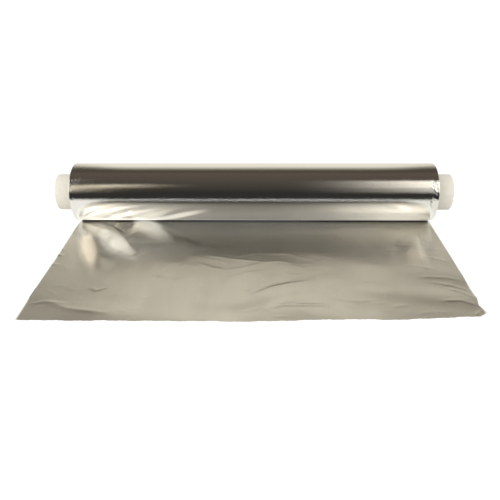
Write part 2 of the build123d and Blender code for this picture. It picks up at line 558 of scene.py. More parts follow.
# Columns crowd towards the left corner, and rows towards the roll, where the folds are
pulled_foil, share_across, share_up = new_grid("pulled_foil", columns, rows)
across = np.interp(share_across, [0, 0.40, 0.92, 1], [0, 0.26, 0.93, 1])
out = np.interp(1 - share_up, [0, 0.06, 0.52, 1], [0, 0.055, 0.40, 1])
edge_y = front_edge_y(across)
sheet_y = sheet_start + out * (edge_y - sheet_start)
sheet_x = left_edge_x(sheet_y) + across * (right_edge_x(sheet_y) - left_edge_x(sheet_y))
print("pulled length reaches", round(-sheet_y.min() / MM, 1), "mm from the axis")

# %% [markdown]
# ## Pulled length: folds and creases
# Each fold, facet and crease is a height over a place on the table, and the heights are added up.
# A picture of heights could do this too, but numbers say what each fold is and can be changed one
# by one. The large ones are listed, and the smallest come from a seeded chance.

# %% Creases and folds, listed one by one
# Soft folds: from, to, height and half width. All numbers here are millimetres.
soft_folds = [
    ((-134, -25), (-84, -62), 2.5, 21),
    ((-58, -104), (36, -127), 0.45, 20),
    ((-4, -196), (74, -159), 0.5, 20),
    ((74, -100), (126, -124), 0.4, 20),
    ((-166, -214), (-40, -236), 0.6, 26),
    ((40, -212), (106, -231), 0.8, 24),
    ((-214, -196), (-130, -222), 0.30, 22),
    ((126, -175), (225, -196), 0.8, 22),
    ((153, -131), (225, -149), 0.6, 22),
]

# Bulges are uneven folds: on the left of the way that they run they die away softly, and on the
# right they stay high for longer and then drop. Their two half widths are left and right.
bulges = [
    ((-196, -70), (-177, -110), 2.5, 22, 16),
    ((188, -108), (190, -74), 1.1, 26, 10),
]

# The bunched corner is made of flat facets. The lines that they meet at run through points with
# heights, and the last line goes round the corner and is level with the sheet.
corner_lines = [
    [(-223, -11, 0.3), (-214, -22, 1.1), (-191, -43, 3.2), (-165, -53, 5.4), (-154, -68, 5.2),
     (-144, -85, 4.3), (-134, -101, 2.3), (-129, -107, 0.2)],
    [(-222, -18, 0.3), (-208, -36, 0.6), (-196, -52, 0.9), (-188, -62, 0.8), (-174, -78, 0.5),
     (-157, -98, 0.3), (-141, -111, 0.1), (-129, -107, 0.2)],
    [(-223, -11, 0.3), (-194, -22, 2.6), (-180, -34, 3.8), (-165, -53, 5.4)],
    [(-195, -15, 0.9), (-184, -25, 0.2), (-174, -32, 1.4), (-168, -38, 0.2), (-162, -46, 1.6),
     (-156, -56, 3.4)],
    [(-184, -14, 1.5), (-179, -22, 0.3), (-175, -17, 1.6), (-172, -25, 3.0), (-167, -31, 0.4)],
    [(-168, -14, 0.3), (-163, -20, 2.2), (-160, -29, 0.8), (-156, -42, 2.4)],
    [(-149, -19, 1.7), (-143, -48, 3.0), (-137, -80, 2.4), (-129, -107, 0.2)],
    [(-190, -48, 2.5), (-184, -53, 2.7), (-177, -53, 4.1), (-173, -58, 3.7)],
    [(-182, -62, 1.7), (-177, -65, 2.6), (-172, -73, 1.8), (-167, -70, 3.0)],
    [(-216, -44, 0.1), (-208, -55, 0.5), (-201, -67, 0.2)],
    [(-214, -38, 0.8), (-205, -51, 0.9), (-198, -60, 0.5)],
    [(-228, -6, 0), (-228, -60, 0), (-216, -104, 0), (-196, -142, 0), (-150, -152, 0),
     (-108, -122, 0), (-100, -74, 0), (-118, -40, 0.4), (-128, -8, 0), (-228, -6, 0)],
]
crease_softness = 1.1  # how far a facet's edge is rounded
softening_copies = 12  # shifted copies of the facets whose mean gives the rounding

print("folds", len(soft_folds) + len(bulges), "and lines of the corner", len(corner_lines))

# %% Fine creases, listed one by one
# Each follows a few points. Then come its height and half width.
fine_creases = [
    ([(-61, -97), (-46, -107), (-23, -114), (6, -119)], 0.42, 4.2),
    ([(-63, -121), (-45, -132), (-27, -139)], 0.50, 4.0),
    ([(-30, -139), (-12, -133), (12, -122), (30, -119)], 0.34, 4.2),
    ([(-24, -112), (-8, -104), (12, -95)], 0.30, 3.4),
    ([(-2, -92), (17, -101), (40, -100), (56, -109), (76, -117)], 0.36, 3.8),
    ([(-16, -114), (10, -120), (32, -118), (55, -126)], 0.30, 3.4),
    ([(-12, -143), (10, -139), (27, -128)], 0.30, 3.6),
    ([(28, -137), (41, -146), (58, -147)], 0.30, 3.2),
    ([(-4, -192), (20, -172), (40, -164), (64, -158)], 0.52, 4.6),
    ([(8, -214), (30, -205), (72, -205), (92, -216)], 0.50, 5.0),
    ([(-172, -172), (-160, -178), (-143, -169)], 0.55, 4.0),
    ([(-36, -157), (-18, -148), (-2, -142)], 0.26, 3.2),
    ([(-214, -196), (-180, -212), (-131, -221)], 0.5, 7.0),
    ([(-228, -104), (-217, -103)], 0.7, 3.0),
    ([(-228, -126), (-214, -125)], 0.6, 3.0),
    ([(-228, -88), (-220, -91)], 0.5, 3.0),
    ([(228, -196), (212, -178), (196, -170)], 0.6, 3.6),
    ([(228, -180), (206, -166), (180, -158)], 0.45, 3.6),
    ([(226, -206), (208, -196), (184, -196)], 0.5, 3.8),
    ([(228, -160), (206, -152), (170, -150)], 0.36, 3.6),
    ([(205, -139), (180, -128), (150, -128)], 0.30, 3.8),
    ([(222, -120), (202, -108), (186, -104)], 0.34, 3.6),
    ([(188, -84), (176, -98), (158, -104)], 0.30, 3.8),
    ([(150, -62), (172, -78), (198, -82)], 0.26, 4.4),
    ([(96, -102), (120, -110), (146, -106)], 0.26, 3.8),
    ([(70, -186), (96, -196), (130, -196)], 0.24, 4.4),
    ([(-112, -150), (-84, -158), (-60, -150)], 0.22, 4.2),
    ([(-226, -206), (-205, -200), (-178, -204)], 0.5, 4.2),
    ([(214, -222), (220, -214), (227, -212)], 0.7, 2.2),
]
print("fine creases", len(fine_creases))


# %% Heights of folds, creases and facets over a place
def soft_profile(away):
    """1 on the crest and 0 from a distance of 1, as a soft wave."""
    return (1 + np.cos(math.pi * np.clip(away, 0, 1))) / 2


def keen_profile(away):
    """1 on the crest and 0 from a distance of 1, as two flanks that meet sharply."""
    return (1 - np.clip(away, 0, 1)) ** 2


def along_run(x, y, start, end):
    """Distance along a run, distance to its left, and the run's own length."""
    run_x, run_y = end[0] - start[0], end[1] - start[1]
    length = math.hypot(run_x, run_y)
    along = ((x - start[0]) * run_x + (y - start[1]) * run_y) / length
    left = ((y - start[1]) * run_x - (x - start[0]) * run_y) / length
    return along, left, length


def fold_height(x, y, start, end, half):
    """An even fold along a run, which fades out past both ends."""
    along, left, length = along_run(x, y, start, end)
    past = np.maximum(0, np.maximum(-along, along - length))
    return soft_profile(np.hypot(left / half, past / (1.5 * half)))


def bulge_height(x, y, start, end, left_half, right_half):
    """An uneven fold, with a soft side on the left and a rounder one on the right."""
    along, left, length = along_run(x, y, start, end)
    past = np.maximum(0, np.maximum(-along, along - length)) / (left_half + right_half)
    soft_side = soft_profile(np.hypot(left / left_half, past))
    round_side = np.maximum(1 - (left / right_half) ** 2, 0) ** 1.5 * soft_profile(past)
    return np.where(left > 0, soft_side, round_side)


def crease_height(x, y, points, half):
    """A fine crease along a chain of points, which fades to nothing at both ends."""
    lengths = [math.dist(a, b) for a, b in zip(points, points[1:])]
    total = sum(lengths)
    nearest = np.full_like(x, 1e9)
    place = np.zeros_like(x)
    walked = 0.0
    for start, end, length in zip(points, points[1:], lengths):
        along, left, _ = along_run(x, y, start, end)
        held = np.clip(along, 0, length)
        distance = np.hypot(left, along - held)
        closer = distance < nearest
        nearest = np.where(closer, distance, nearest)
        place = np.where(closer, (walked + held) / total, place)
        walked += length
    fade = smooth_step(place / 0.3) * smooth_step((1 - place) / 0.35)
    return keen_profile(nearest / half) * fade


def facet_triangles(lines):
    """Triangles between the lines of a faceted area, as three corners with heights each."""
    spots = list(dict.fromkeys(point for line in lines for point in line))
    flat_spots = [Vector(point[:2]) for point in spots]
    heights = {tuple(round(v, 3) for v in point[:2]): point[2] for point in spots}
    edges = [(spots.index(a), spots.index(b)) for line in lines for a, b in zip(line, line[1:])]
    found, _, faces, *_ = geometry.delaunay_2d_cdt(flat_spots, edges, [], 0, 1e-4)
    corners = [(v.x, v.y, heights[(round(v.x, 3), round(v.y, 3))]) for v in found]
    return [[corners[i] for i in face] for face in faces]


def facet_height(x, y, facets):
    """Height of the faceted area over a point, and 0 outside it."""
    height = np.zeros_like(x)
    for (ax, ay, az), (bx, by, bz), (cx, cy, cz) in facets:
        area = (bx - ax) * (cy - ay) - (cx - ax) * (by - ay)
        share_b = ((x - ax) * (cy - ay) - (cx - ax) * (y - ay)) / area
        share_c = ((bx - ax) * (y - ay) - (x - ax) * (by - ay)) / area
        inside = (share_b >= 0) & (share_c >= 0) & (share_b + share_c <= 1)
        height = np.where(inside, az + share_b * (bz - az) + share_c * (cz - az), height)
    return height


# %% Lift the sheet
under_lie = 0.02 * MM  # its hidden end lies this far above the table
sheet_lie = 0.06 * MM  # in front it lies this much higher
lie_ease = 10 * MM  # and it rises by that over this length
flat_end = -9 * MM  # folds begin in front of this place
ramp_length = 16 * MM
roll_clearance = 0.35 * MM  # folds stay this far away from the roll
chance_creases = 150

x_mm, y_mm = sheet_x / MM, sheet_y / MM
height = np.sqrt(
    sum((tall * fold_height(x_mm, y_mm, a, b, half)) ** 2 for a, b, tall, half in soft_folds)
)
for start, end, tall, left_half, right_half in bulges:
    height += tall * bulge_height(x_mm, y_mm, start, end, left_half, right_half)
facets = facet_triangles(corner_lines)
for k in range(softening_copies):
    shift = crease_softness * math.sqrt((k + 0.5) / softening_copies)
    shift_x, shift_y = shift * math.cos(2.4 * k), shift * math.sin(2.4 * k)
    height += facet_height(x_mm + shift_x, y_mm + shift_y, facets) / softening_copies
print("corner facets", len(facets))
for points, tall, half in fine_creases:
    height += tall * crease_height(x_mm, y_mm, points, half)

# Chance creases: short, shallow and lying about along the strip's width
chance = np.random.default_rng(16)
for _ in range(chance_creases):
    middle = np.array((chance.uniform(-215, 215), chance.uniform(-225, -40)))
    heading = math.radians(chance.normal(-8, 24))
    half_run = chance.uniform(8, 26) / 2 * np.array((math.cos(heading), math.sin(heading)))
    bend = np.array((-half_run[1], half_run[0])) * chance.uniform(-0.25, 0.25)
    points = [tuple(middle - half_run), tuple(middle + bend), tuple(middle + half_run)]
    tall = chance.uniform(0.07, 0.24)
    height += tall * crease_height(x_mm, y_mm, points, chance.uniform(1.8, 3.0))

# Wide, middling and small waves over the whole sheet: height, stretch, wavelength, start, lift
spots = np.column_stack((sheet_x, sheet_y, 0 * sheet_x))
waves = [(0.9, 1.6, 110, 2, 0.35), (0.26, 1.5, 42, 5, 0.4), (0.07, 1, 15, 9, 0)]
for tall, stretch, wavelength, start, lift in waves:
    height += tall * (ripple(spots * (1, stretch, 1), wavelength * MM, start) + lift)
height = np.maximum(height, 0) * MM

# No fold is higher than the room under the roll
under_roll = axis_height - np.sqrt(np.maximum(roll_radius**2 - sheet_y**2, 0)) - roll_clearance
under_roll = np.where(np.abs(sheet_y) < roll_radius, np.maximum(under_roll, 0), 1.0)
lifted = smooth_step((flat_end - sheet_y) / ramp_length) * height
room = np.maximum(under_roll, 1e-6)
lifted = lifted / (1 + (lifted / room) ** 4) ** 0.25
sheet_z = under_lie + sheet_lie * smooth_step(-sheet_y / lie_ease) + lifted
write_vertices(pulled_foil, np.column_stack((sheet_x, sheet_y, sheet_z)))
print("folds rise to", round(sheet_z.max() / MM, 2), "mm")

# %% [markdown]
# ## Pulled length: thickness
# Foil is about 0.016 mm thick, too thin to show and to print. A modifier gives the sheet two
# faces and a rim, a tenth of a millimetre apart. The side that is turned up is satin, and the
# lower side and the rim are bright. The strip's own coordinates are laid first, while it is flat.

# %% Thickness, both faces and the strip's own coordinates
sheet_thickness = 0.11 * MM

corners = corner_vertices(pulled_foil)
lay_strip(pulled_foil, sheet_x[corners], sheet_y[corners])

select_only(pulled_foil)
bpy.ops.object.mode_set(mode="EDIT")
bpy.ops.mesh.select_all(action="SELECT")
bpy.ops.mesh.normals_make_consistent(inside=False)
bpy.ops.object.mode_set(mode="OBJECT")
if pulled_foil.data.polygons[0].normal.z < 0:
    pulled_foil.data.flip_normals()
for name in ("satin_foil", "bright_foil"):
    pulled_foil.data.materials.append(bpy.data.materials.new(name))
thickness = pulled_foil.modifiers.new("thickness", "SOLIDIFY")
thickness.thickness = sheet_thickness
thickness.offset = 1
thickness.use_rim = True
thickness.material_offset = 1
thickness.material_offset_rim = 1
bpy.ops.object.modifier_apply(modifier=thickness.name)
bpy.ops.object.shade_smooth_by_angle(angle=math.radians(40))
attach(pulled_foil, "root")
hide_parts("foil")

# %% [markdown]
# ## Surface of rolled foil
# Foil is rolled so thin that two sheets go through the last rollers together. The sides that
# touch the polished rollers come out bright, and the sides that touch each other come out satin.
# Both carry the same marks: very fine lines along the strip, and a soft unevenness about a
# millimetre across, like orange peel, which makes reflections grainy. Both finishes share one
# node group that gives a height and two masks, and each sets its own sizes and heights.


# %% Helpers for materials
def empty_tree(owner):
    """Gives a material or a world an empty node tree."""
    owner.use_nodes = True
    owner.node_tree.nodes.clear()
    return owner.node_tree


def empty_material(name):
    """The named material, new or already on a piece, with an empty node tree."""
    material = bpy.data.materials.get(name) or bpy.data.materials.new(name)
    return material, empty_tree(material)


def add_node(tree, kind, inputs=None, **settings):
    """Adds a node, sets its options, and fills or links its inputs.

    A node as an input stands for its first output. A colour is three numbers."""
    node = tree.nodes.new("ShaderNode" + kind)
    for setting, value in settings.items():
        setattr(node, setting, value)
    for label, value in (inputs or {}).items():
        socket = node.inputs[label]
        if isinstance(value, bpy.types.Node):
            value = value.outputs[0]
        if isinstance(value, bpy.types.NodeSocket):
            tree.links.new(value, socket)
        else:
            socket.default_value = (*value, 1.0) if socket.type == "RGBA" else value
    return node


def maths(operation, first, *others):
    """Joins sockets and numbers, from the left, with one kind of math node."""
    tree = next(v.id_data for v in (first, *others) if isinstance(v, bpy.types.NodeSocket))
    for other in others or (0.0,):
        first = add_node(tree, "Math", {0: first, 1: other}, operation=operation).outputs[0]
    return first


def times(*values):
    return maths("MULTIPLY", *values)


def plus(*values):
    return maths("ADD", *values)


def minus(first, second):
    return maths("SUBTRACT", first, second)


def rise(value, low, high, bottom=0.0, top=1.0, kind="SMOOTHSTEP"):
    """Goes from bottom to top while the value goes from low to high, and stays there."""
    limits = {"From Min": low, "From Max": high, "To Min": bottom, "To Max": top}
    node = add_node(value.id_data, "MapRange", {"Value": value, **limits}, interpolation_type=kind)
    return node.outputs[0]


def band(value, low, low_full, high_full, high):
    """1 between the two inner values, 0 outside the two outer ones."""
    return times(rise(value, low, low_full), rise(value, high_full, high, 1.0, 0.0))


def ramp(value, stops):
    """A colour ramp with one stop for each place and colour."""
    node = add_node(value.id_data, "ValToRGB", {"Fac": value})
    elements = node.color_ramp.elements
    for place, colour in stops[1:-1]:
        elements.new(place).color = (*colour, 1.0)
    for element, (place, colour) in ((elements[0], stops[0]), (elements[-1], stops[-1])):
        element.position, element.color = place, (*colour, 1.0)
    return node.outputs[0]


def mix_colour(share, first, second):
    inputs = {0: share, 6: first, 7: second}
    return add_node(share.id_data, "Mix", inputs, data_type="RGBA").outputs[2]


def stretched_noise(place, scale, detail, rough=0.5):
    """Noise with a scale of its own along each axis."""
    tree = place.id_data
    inputs = {"Vector": add_node(tree, "Mapping", {"Vector": place, "Scale": scale})}
    inputs |= {"Scale": 1.0, "Detail": detail, "Roughness": rough}
    return add_node(tree, "TexNoise", inputs).outputs[0]


def new_group(name, inputs, outputs):
    """A node group with named inputs, given with their usual values, and named outputs."""
    group = bpy.data.node_groups.new(name, "ShaderNodeTree")
    for label, usual in inputs.items():
        kind = "NodeSocketVector" if isinstance(usual, tuple) else "NodeSocketFloat"
        socket = group.interface.new_socket(name=label, in_out="INPUT", socket_type=kind)
        socket.default_value = usual
    for label in outputs:
        group.interface.new_socket(name=label, in_out="OUTPUT", socket_type="NodeSocketFloat")
    entry = group.nodes.new("NodeGroupInput")
    leave = group.nodes.new("NodeGroupOutput")
    return group, entry.outputs, leave.inputs


# %% Rolling marks, shared by both finishes of the foil
usual_marks = {"Peel size": 0.0016, "Peel height": 0.00001, "Line height": 0.000002}
marks, given, wanted = new_group(
    "rolling_marks", {"Place": (0.0, 0.0, 0.0), **usual_marks}, ["Height", "Patches", "Lines"]
)
peel_scale = maths("DIVIDE", 1.0, given["Peel size"])
peel_place = {"Vector": given["Place"], "Scale": peel_scale}
peel = add_node(marks, "TexNoise", {**peel_place, "Detail": 2.0, "Roughness": 0.6}).outputs[0]
lines = stretched_noise(given["Place"], (1400.0, 14.0, 14.0), 3.0, 0.55)
patches = stretched_noise(given["Place"], (26.0, 9.0, 9.0), 3.0)
relief = plus(times(peel, given["Peel height"]), times(lines, given["Line height"]))
for label, socket in (("Height", relief), ("Patches", patches), ("Lines", lines)):
    marks.links.new(socket, wanted[label])
print("rolling marks use", len(marks.nodes), "nodes")


# %% The two finishes of the foil
def foil_finish(name, colour, darker, roughness, peel_size, peel_height, line_height):
    """Metal with rolling marks. Its roughness wanders between two values."""
    material, tree = empty_material(name)
    sizes = {"Peel size": peel_size, "Peel height": peel_height, "Line height": line_height}
    strip = add_node(tree, "UVMap", uv_map="strip")
    skin = add_node(tree, "Group", {"Place": strip, **sizes}, node_tree=marks).outputs
    inputs = {
        "Base Color": mix_colour(rise(skin["Lines"], 0.25, 0.6, kind="LINEAR"), darker, colour),
        "Metallic": 1.0,
        "Roughness": rise(skin["Patches"], 0.3, 0.7, *roughness, "LINEAR"),
        "Normal": add_node(tree, "Bump", {"Distance": 1.0, "Height": skin["Height"]}),
    }
    add_node(tree, "OutputMaterial", {"Surface": add_node(tree, "BsdfPrincipled", inputs)})
    print(name, "roughness from", roughness[0], "to", roughness[1])
    return material


# The pulled length carries both already, under these names
bright_foil = foil_finish(
    "bright_foil",
    colour=(0.915, 0.905, 0.88),
    darker=(0.905, 0.895, 0.87),
    roughness=(0.055, 0.09),
    peel_size=0.0015,
    peel_height=0.00013,
    line_height=0.000002,
)
foil_finish(
    "satin_foil",
    colour=(0.81, 0.79, 0.73),
    darker=(0.78, 0.76, 0.70),
    roughness=(0.28, 0.35),
    peel_size=0.0011,
    peel_height=0.00006,
    line_height=0.0000025,
)

# %% [markdown]
# ## Edges of the turns
# On the ends of the roll the eye sees hundreds of cut edges side by side, as fine rings. The
# modelled turns carry the larger grooves, and a noise stretched along the spiral adds the fine
# rings between them, in height and in tone.

# %% Edges of the turns
turn_edges, tree = empty_material("turn_edges")
strip = add_node(tree, "UVMap", uv_map="strip")
ring_noise = stretched_noise(strip.outputs[0], (1700.0, 6.0, 1.0), 5.0, 0.65)
ring_inputs = {
    "Base Color": ramp(ring_noise, [(0.3, (0.26, 0.255, 0.24)), (0.7, (0.92, 0.91, 0.87))]),
    "Metallic": 1.0,
    "Roughness": 0.34,
    "Normal": add_node(tree, "Bump", {"Distance": 0.00006, "Height": ring_noise}),
}
add_node(tree, "OutputMaterial", {"Surface": add_node(tree, "BsdfPrincipled", ring_inputs)})

# The slots are filled in place, because clearing them would reset which face uses which
roll_slots = wound_foil.data.materials
while len(roll_slots) < 2:
    roll_slots.append(None)
roll_slots[0], roll_slots[1] = bright_foil, turn_edges
edge_faces = sum(face.material_index == 1 for face in roll_faces)
print(edge_faces, "faces carry the edges of the turns")

# %% [markdown]
# ## Paper board
# The core is matt, near white and a little warm. Its fibres give it a soft mottle and a fine
# grain along the tube. The seam between its strips is in the shape already.

# %% Paper board
board_paper, tree = empty_material("board_paper")
board = add_node(tree, "TexCoord").outputs["Object"]
mottle_inputs = {"Vector": board, "Scale": 260.0, "Detail": 5.0, "Roughness": 0.65}
mottle = add_node(tree, "TexNoise", mottle_inputs).outputs[0]
fibres = stretched_noise(board, (900.0, 2600.0, 2600.0), 4.0)
fibre_bump = {"Strength": 0.6, "Distance": 0.00008, "Height": fibres}
paper_inputs = {
    "Base Color": ramp(mottle, [(0.32, (0.850, 0.815, 0.715)), (0.66, (0.895, 0.865, 0.770))]),
    "Roughness": 0.82,
    "Normal": add_node(tree, "Bump", fibre_bump),
}
add_node(tree, "OutputMaterial", {"Surface": add_node(tree, "BsdfPrincipled", paper_inputs)})
paper_core.data.materials.clear()
paper_core.data.materials.append(board_paper)
print("paper board has", len(tree.nodes), "nodes")

# %% [markdown]
# ## Stage
# Bright metal has no look of its own: it shows its surroundings. So the stage is built for the
# roll to reflect. The floor and the sky are plain white to the camera. A long half tube, the
# hood, stands round the roll's axis, with cards inside it and walls at its ends. Only reflections
# see them, and they cast no shadow. Painting the stripes on the foil would be simpler, but they
# would stay in place when the roll is seen from another side.


# %% Floor and surroundings
def seen_directly(tree):
    """1 for rays that the camera or a mirror sends out, and 0 for those that gather soft light."""
    rays = add_node(tree, "LightPath").outputs
    return maths(
        "MAXIMUM", rays["Is Camera Ray"], rays["Is Glossy Ray"], rays["Is Transmission Ray"]
    )


studio_width = 16  # metres
floor_drop = 0.05 * MM  # the floor lies this far under the roll, so that no faces coincide

deselect_everything()
bpy.ops.mesh.primitive_plane_add(size=studio_width, location=(0, 0, -floor_drop))
floor = name_new_piece("floor")
floor_white, tree = empty_material("floor_white")
plain = add_node(tree, "BsdfDiffuse", {"Color": (0.8, 0.8, 0.8)})
shaded = add_node(tree, "BsdfDiffuse", {"Color": (0.34, 0.34, 0.34)})
lifted_white = add_node(tree, "Emission", {"Color": (1.0, 1.0, 1.0), "Strength": 0.82})
shown = add_node(tree, "AddShader", {0: shaded, 1: lifted_white})
floor_mix = add_node(tree, "MixShader", {0: seen_directly(tree), 1: plain, 2: shown})
add_node(tree, "OutputMaterial", {"Surface": floor_mix})
floor.data.materials.append(floor_white)

world = bpy.data.worlds.new("studio")
bpy.context.scene.world = world
tree = empty_tree(world)
white = add_node(tree, "Background", {"Color": (1.0, 1.0, 1.0), "Strength": 1.0})
soft_light = add_node(tree, "Background", {"Color": (1.0, 0.985, 0.96), "Strength": 0.66})
sky_mix = add_node(tree, "MixShader", {0: seen_directly(tree), 1: soft_light, 2: white})
add_node(tree, "OutputWorld", {"Surface": sky_mix})
print("floor", studio_width, "metres wide")


# %% The hood's shape
hood_distance = 1.15
hood_half_length = 2.4
hood_low, hood_high = math.radians(-1.7), math.radians(179.0)


def only_in_reflections(sheet, glow):
    """Puts a glowing finish on a stage sheet and hides it from all but reflections."""
    sheet.data.materials.append(glow)
    sheet.visible_camera = False
    sheet.visible_diffuse = False
    sheet.visible_shadow = False


def give_light(tree, colour, strength=1.0):
    light = add_node(tree, "Emission", {"Color": colour, "Strength": strength})
    add_node(tree, "OutputMaterial", {"Surface": light})


def on_hood(angle, distance=hood_distance):
    """A place on the hood, given by its angle above the front horizon."""
    return Vector((0, -distance * math.cos(angle), axis_height + distance * math.sin(angle)))


hood, share_along, share_up = new_grid("hood", 4, 90)
bent = np.array([on_hood(angle) for angle in hood_low + share_up * (hood_high - hood_low)])
bent[:, 0] = (2 * share_along - 1) * hood_half_length
write_vertices(hood, bent)
print("hood", 2 * hood_half_length, "metres long,", 2 * hood_distance, "metres wide")

# %% The hood's glow, by angle above the front horizon and by place along the roll
hood_glow, tree = empty_material("hood_glow")
hood_place = add_node(tree, "TexCoord").outputs["Object"]
hood_x, hood_y, hood_z = add_node(tree, "SeparateXYZ", {0: hood_place}).outputs
sideways = maths("ABSOLUTE", hood_x)
hood_turn = maths("ARCTAN2", minus(hood_z, axis_height), times(hood_y, -1.0))
degrees = times(hood_turn, 180 / math.pi)

# Near black low in front, then brown overhead, and paler far past the roll's ends
overhead = ramp(maths("DIVIDE", degrees, 180.0), [
    (0.12, (0.030, 0.029, 0.027)),
    (0.17, (0.048, 0.041, 0.033)),
    (0.30, (0.068, 0.060, 0.050)),
    (0.43, (0.094, 0.077, 0.062)),
    (0.56, (0.104, 0.087, 0.066)),
    (0.61, (0.074, 0.061, 0.046)),
])
overhead = mix_colour(times(rise(sideways, 0.75, 1.5), 0.8), overhead, (0.42, 0.40, 0.36))

# Cream behind: its edge is level in the middle and climbs towards both ends
past_middle = maths("MAXIMUM", minus(sideways, 0.46), 0.0)
edge_climb = times(past_middle, 135.0, minus(1.0, rise(sideways, 0.58, 0.66)))
cream_share = band(minus(degrees, edge_climb), 113.0, 148.0, 400.0, 500.0)
cream_levels = [
    (0.10, 0.30), (0.175, 0.72), (0.25, 1.0), (0.32, 1.0), (0.40, 1.0),
    (0.62, 1.0), (0.70, 0.98), (0.76, 0.92), (0.825, 0.74), (0.90, 0.50),
]
cream_stops = [(place, (0.87 * g, 0.82 * g, 0.70 * g)) for place, g in cream_levels]
glow = mix_colour(cream_share, overhead, ramp(plus(times(hood_x, 0.5), 0.5), cream_stops))

# White glow at the front right, brighter towards its end, with a sharp upper edge
right_share = maths("POWER", rise(hood_x, 0.18, 0.58, kind="LINEAR"), 1.8)
right_low = times(band(degrees, 17.0, 25.0, 38.0, 42.0), 0.45)
right_band = maths("MAXIMUM", band(degrees, 35.0, 40.0, 64.5, 66.5), right_low)
glow = mix_colour(times(right_share, right_band), glow, (1.33, 1.25, 1.10))
right_line = times(right_share, band(degrees, 57.5, 60.0, 64.5, 66.5), 0.45)
glow = mix_colour(right_line, glow, (2.0, 1.9, 1.7))

# Gold streak at the front left, which sinks towards the end, and a dim glow under it
left_out = times(hood_x, -1.0)
sink = times(maths("MAXIMUM", minus(left_out, 0.50), 0.0), 80.0)
streak = band(plus(degrees, sink), 39.5, 44.5, 48.5, 52.5)
under_streak = band(degrees, 15.0, 29.0, 34.0, 46.0)
glow = mix_colour(times(rise(left_out, 0.46, 0.64), under_streak), glow, (0.27, 0.225, 0.15))
glow = mix_colour(times(rise(left_out, 0.30, 0.50), streak), glow, (1.12, 1.0, 0.75))
give_light(tree, glow)
only_in_reflections(hood, hood_glow)
print("the hood's glow uses", len(tree.nodes), "nodes")

# %% [markdown]
# ## Cards inside the hood
# Cards are sheets of one even colour. In a photo studio they are paper or cloth, held where the
# metal needs a light or a dark stripe. Here they stand just inside the hood or lie just over the
# floor, where they take the place of a table that is darker in front and cream behind. The strip
# next to the roll's back is darker still, as a painted shadow of the roll.


# %% Cards inside the hood
def add_card(name, first, second, sides, colour, strength):
    """A glowing card between two lines along X, each through a point, and between two sides."""
    middle = (first + second) / 2
    middle.x = sum(sides) / 2
    span = second - first
    deselect_everything()
    bpy.ops.mesh.primitive_plane_add(
        size=1, location=middle, rotation=(math.atan2(span.z, span.y), 0, 0)
    )
    card = name_new_piece(name, scale=(sides[1] - sides[0], span.length, 1))
    glow, tree = empty_material(name)
    give_light(tree, colour, strength)
    only_in_reflections(card, glow)
    print(name, round(sides[1] - sides[0], 2), "by", round(span.length, 2), "metres")


def hood_card(name, low, high, sides, colour, strength):
    """A card between two angles above the front horizon, in degrees."""
    edges = [on_hood(math.radians(angle), 0.93 * hood_distance) for angle in (low, high)]
    add_card(name, *edges, sides, colour, strength)


def table_card(name, front, back, sides, colour):
    """A card just above the floor, between two distances behind the roll's axis."""
    edges = [Vector((0, y, 1 * MM)) for y in (front, back)]
    add_card(name, *edges, sides, colour, 1.0)


card_white, card_grey = (1.0, 0.98, 0.94), (0.40, 0.385, 0.35)
full_length = (-hood_half_length, hood_half_length)
hood_card("left_reflector", 20, 75, (-1.75, -0.66), card_white, 1.9)
hood_card("right_reflector", 20, 63, (0.64, 1.6), card_white, 2.2)
table_card("dark_table", -1.16, -0.290, (-0.75, 0.75), (0.03, 0.029, 0.027))
table_card("left_front_table", -1.16, -0.290, (-hood_half_length, -0.75), card_grey)
table_card("right_front_table", -1.16, -0.290, (0.75, hood_half_length), card_grey)
# A darker strip just behind the roll: a painted shadow of the roll on the table, seen only in
# reflections
table_card("painted_shadow_table", 0.012, 0.14, full_length, (0.42, 0.40, 0.35))
table_card("cream_table", 0.14, 1.14, full_length, (0.76, 0.72, 0.62))
table_card("left_table", -0.285, 0.045, (-0.60, -0.2240), (0.92, 0.905, 0.85))
table_card("right_table", -0.285, 0.045, (0.2245, 0.60), (0.84, 0.83, 0.77))
hood_card("left_window", 118, 176, (-1.9, -0.89), (1.0, 0.93, 0.80), 1.5)
hood_card("right_window", 140, 176, (0.92, 1.9), (1.0, 0.91, 0.78), 0.95)

# %% [markdown]
# ## Walls that close the hood's ends
# The ends of the roll, with the edges of its turns, face sideways and mirror what stands there.
# One plain grey would make them dull discs. So each wall is pale at the foot and at the top and
# dark between, which gives the rings a light and a dark side.

# %% Walls that close the hood's ends
wall_height = 2.4
for name, side in (("left_wall", -1), ("right_wall", 1)):
    deselect_everything()
    bpy.ops.mesh.primitive_plane_add(
        size=wall_height,
        location=(side * hood_half_length, 0, wall_height / 2),
        rotation=(0, math.radians(90), 0),
    )
    wall = name_new_piece(name)
    wall_glow, tree = empty_material(name + "_glow")
    spot = add_node(tree, "NewGeometry").outputs["Position"]
    wall_z = add_node(tree, "SeparateXYZ", {0: spot}).outputs[2]
    wall_tone = ramp(maths("DIVIDE", wall_z, wall_height), [
        (0.0, (0.62, 0.60, 0.55)),
        (0.10, (0.50, 0.48, 0.44)),
        (0.22, (0.26, 0.25, 0.225)),
        (0.34, (0.15, 0.14, 0.125)),
        (0.60, (0.50, 0.48, 0.44)),
        (1.0, (0.75, 0.73, 0.68)),
    ])
    give_light(tree, wall_tone)
    only_in_reflections(wall, wall_glow)
    print(name, "stands at", side * hood_half_length, "metres")
